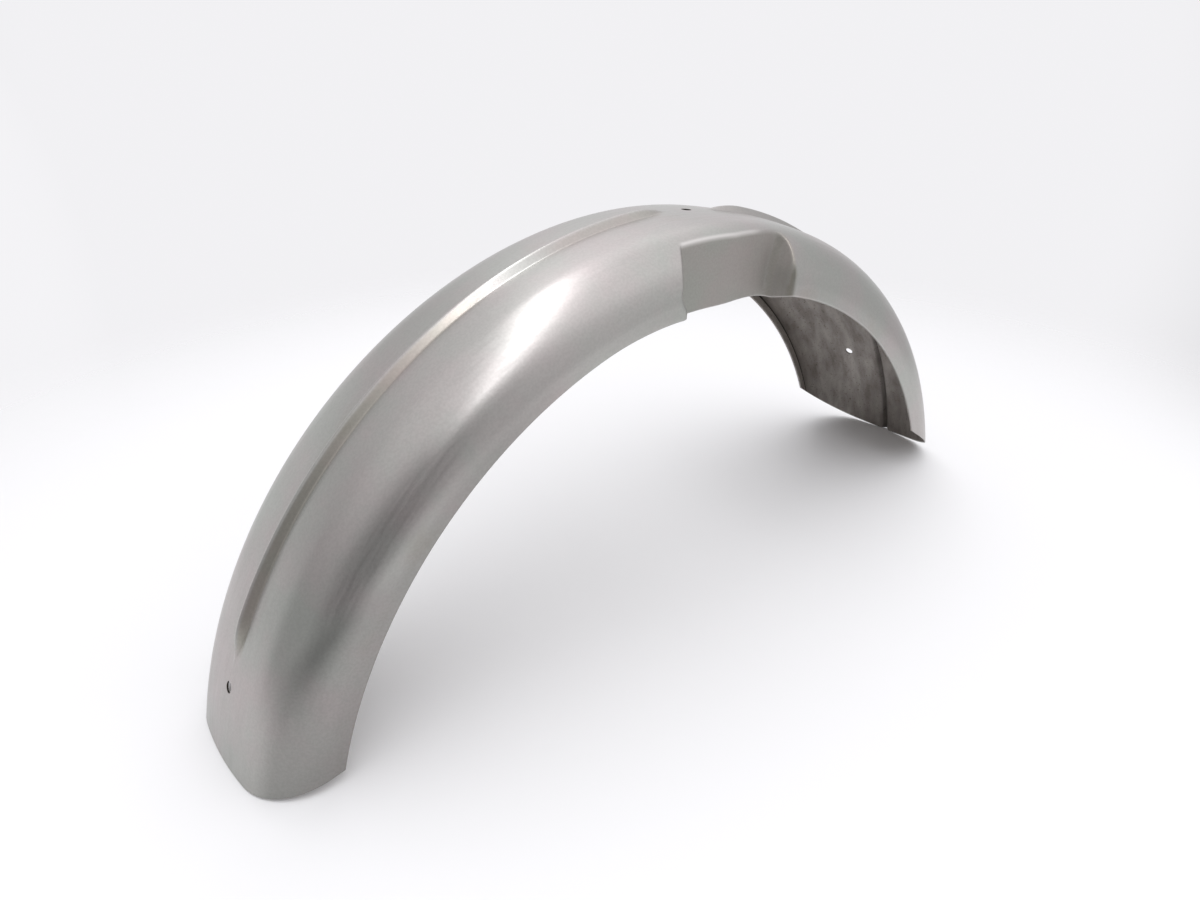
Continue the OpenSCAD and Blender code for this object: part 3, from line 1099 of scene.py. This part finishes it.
# brightness of a white light tent, seen from the part; directions needn't be unit length
tent = {
    "wall": 0.60,                                # low down, all round
    "ceiling": 1.14,                             # straight overhead
    "ceilingEdge": (0.20, 0.90),                 # heights between which it brightens
    "behind": 0.82,                              # share of that at the rear end of the part
    "ahead": 1.10,                               # and at its front end
    "alongEdge": (-1.0, 0.8),
    "glowTowards": (0.50, 0.62, 0.60),           # bright panel high on the far wall
    "glow": 0.36,
    "glowEdge": (0.88, 0.985),
    "sideTowards": (0.50, -0.80, 0.34),          # and a soft one on the right
    "side": 0.22,
    "sideEdge": (0.75, 0.97),
    "leftTowards": (-0.30, 0.90, -0.20),         # pale wall on the far left
    "left": 0.92,
    "leftEdge": (0.62, 0.92),
    "backdropTowards": (0.63, 0.775, -0.15),
    "backdrop": 0.90,                            # the far wall
    "backdropEdge": (0.55, 0.86),                # cosines where it begins and is full
    "openingTowards": (-0.495, -0.858, 0.139),
    "opening": 0.50,                             # share of light left in the tent's open front
    "openingEdge": (0.70, 0.978),
    "tint": (0.983, 0.977, 1.0),
}

strip = {
    "place": (-0.20, -0.45, 1.40),
    "turn": -14.0,                               # degrees about Z
    "width": 0.24,
    "length": 2.4,
    "strength": 4.4,                             # brightness of its face
    "tint": (1.0, 1.0, 1.03),
}


def addStrip():
    data = bpy.data.lights.new("tentStrip", "AREA")
    data.shape = "RECTANGLE"
    data.size, data.size_y = strip["width"], strip["length"]
    data.energy = strip["strength"] * math.pi * strip["width"] * strip["length"]
    data.color = strip["tint"]
    lamp = bpy.data.objects.new("tentStrip", data)
    bpy.context.scene.collection.objects.link(lamp)
    lamp.location = strip["place"]
    lamp.rotation_euler = (0, 0, rad(strip["turn"]))


def addCamera():
    data = bpy.data.cameras.new("photoCamera")
    data.sensor_fit = "HORIZONTAL"
    data.sensor_width = 36.0
    data.lens = studio["lens"]
    camera = bpy.data.objects.new("photoCamera", data)
    bpy.context.scene.collection.objects.link(camera)
    camera.location = studio["cameraPlace"]
    camera.rotation_euler = [rad(a) for a in studio["cameraTurn"]]
    bpy.context.scene.camera = camera


def discMesh(name, radius, steps):
    points = [(radius * math.cos(2 * math.pi * k / steps), radius * math.sin(2 * math.pi * k / steps), 0)
              for k in range(steps)]
    data = bpy.data.meshes.new(name)
    data.from_pydata(points, [], [tuple(range(steps))])
    return data


def tableMaterial():
    # matt white that thins out into the backdrop, so no horizon shows
    material = bpy.data.materials.new("whiteTable")
    material.use_nodes = True
    tree = material.node_tree
    shader = tree.nodes["Principled BSDF"]
    shader.inputs["Base Color"].default_value = (*studio["floorColour"], 1)
    shader.inputs["Roughness"].default_value = studio["floorRoughness"]
    shader.inputs["Specular IOR Level"].default_value = studio["floorGloss"]
    place = addNode(tree, "ShaderNodeTexCoord", -900, 200)
    length = addNode(tree, "ShaderNodeVectorMath", -700, 200)
    length.operation = "LENGTH"
    tree.links.new(place.outputs["Object"], length.inputs[0])
    edge = studio["fadeFrom"], studio["fadeTo"]
    mixed = addNode(tree, "ShaderNodeMixShader", 100, 300)
    beyond = addNode(tree, "ShaderNodeBsdfTransparent", -200, 100)
    tree.links.new(eased(tree, length.outputs["Value"], edge, 0.0, 1.0, -500, 200), mixed.inputs["Fac"])
    tree.links.new(shader.outputs["BSDF"], mixed.inputs[1])
    tree.links.new(beyond.outputs["BSDF"], mixed.inputs[2])
    tree.links.new(mixed.outputs["Shader"], tree.nodes["Material Output"].inputs["Surface"])
    return material


def addFloor():
    floor = bpy.data.objects.new("tableTop", discMesh("tableTop", studio["floorRadius"], 64))
    bpy.context.scene.collection.objects.link(floor)
    floor.data.materials.append(tableMaterial())


def towards(tree, direction, target, x, y):
    # cosine between a direction in the tent and a target
    node = addNode(tree, "ShaderNodeVectorMath", x, y)
    node.operation = "DOT_PRODUCT"
    node.inputs[1].default_value = Vector(target).normalized()
    tree.links.new(direction, node.inputs[0])
    return node.outputs["Value"]


def tentZone(tree, around, name, outside, y):
    # soft round zone of the tent: its own value at the middle, outside's beyond its edge
    facing = towards(tree, around, tent[name + "Towards"], -900, y)
    return eased(tree, facing, tent[name + "Edge"], outside, tent[name], -650, y)


def addTent():
    # bright overhead, a pale wall ahead, dimmer behind, open towards the photographer
    world = bpy.data.worlds.new("lightTent")
    bpy.context.scene.world = world
    world.use_nodes = True
    tree = world.node_tree
    place = addNode(tree, "ShaderNodeTexCoord", -1100, 0)
    around = place.outputs["Generated"]
    axes = axesOf(tree, around, -900, 150)
    roof = eased(tree, axes["Z"], tent["ceilingEdge"], tent["wall"], tent["ceiling"], -650, 200)
    along = eased(tree, axes["X"], tent["alongEdge"], tent["behind"], tent["ahead"], -650, 450)
    light = combine(tree, "MULTIPLY", roof, along, -400, 300)
    light = combine(tree, "MULTIPLY", light, tentZone(tree, around, "opening", 1.0, -100), -200, 200)
    light = combine(tree, "ADD", light, tentZone(tree, around, "glow", 0.0, -350), 0, 150)
    light = combine(tree, "ADD", light, tentZone(tree, around, "side", 0.0, -600), 0, 0)
    light = combine(tree, "MAXIMUM", light, tentZone(tree, around, "backdrop", 0.0, -850), 200, 0)
    light = combine(tree, "MAXIMUM", light, tentZone(tree, around, "left", 0.0, -1100), 200, -150)
    back = tree.nodes["Background"]
    back.location = (400, 100)
    tree.nodes["World Output"].location = (650, 100)
    back.inputs["Color"].default_value = (*tent["tint"], 1)
    tree.links.new(light, back.inputs["Strength"])


blade = buildGuard()
for finish in (steelMaterial(), scaleMaterial()):
    blade.data.materials.append(finish)
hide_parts("mudguard")
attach(blade, "root")
print("blade finished")

addStrip()
addFloor()
addTent()
addCamera()
bpy.context.scene.view_settings.view_transform = "Standard"
print("studio ready")
